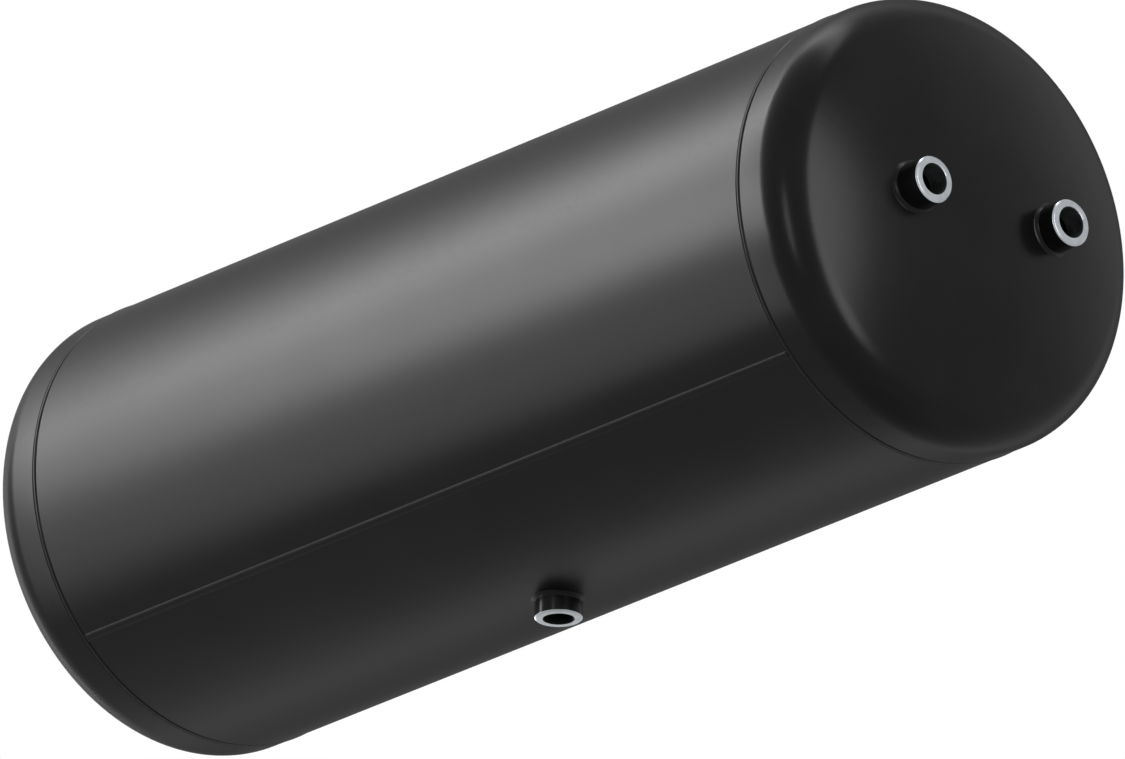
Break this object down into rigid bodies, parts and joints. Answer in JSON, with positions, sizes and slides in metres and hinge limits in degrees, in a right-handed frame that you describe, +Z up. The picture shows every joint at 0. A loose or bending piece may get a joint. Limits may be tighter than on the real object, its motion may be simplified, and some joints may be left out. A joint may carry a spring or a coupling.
{
  "type": "air receiver tank",
  "caption": "Horizontal welded steel compressed-air receiver with dished heads, threaded ports in one head and a drain port under the shell.",
  "frame": {"origin": "on the tank's axis, halfway between the two girth welds", "axes": "+X along the tank's axis towards the head with the two ports, +Z up, so the drain port points down and the two ports lie side by side, left and right"},
  "size_m": [0.8699, 0.3108, 0.3237],
  "materials": {
    "black_coat": "satin black coating on rolled and pressed steel sheet",
    "coated_weld": "satin black coating over rippled weld beads",
    "turned_steel": "black coated sides, bare turned faces and threads"
  },
  "bodies": {
    "root": {"shell": "black_coat", "port_head": "black_coat", "plain_head": "black_coat", "seam_weld": "coated_weld", "port_head_weld": "coated_weld", "plain_head_weld": "coated_weld", "port_boss_left_weld": "coated_weld", "port_boss_right_weld": "coated_weld", "drain_boss_weld": "coated_weld", "port_boss_left": "turned_steel", "port_boss_right": "turned_steel", "drain_boss": "turned_steel"}
  },
  "joints": []
}
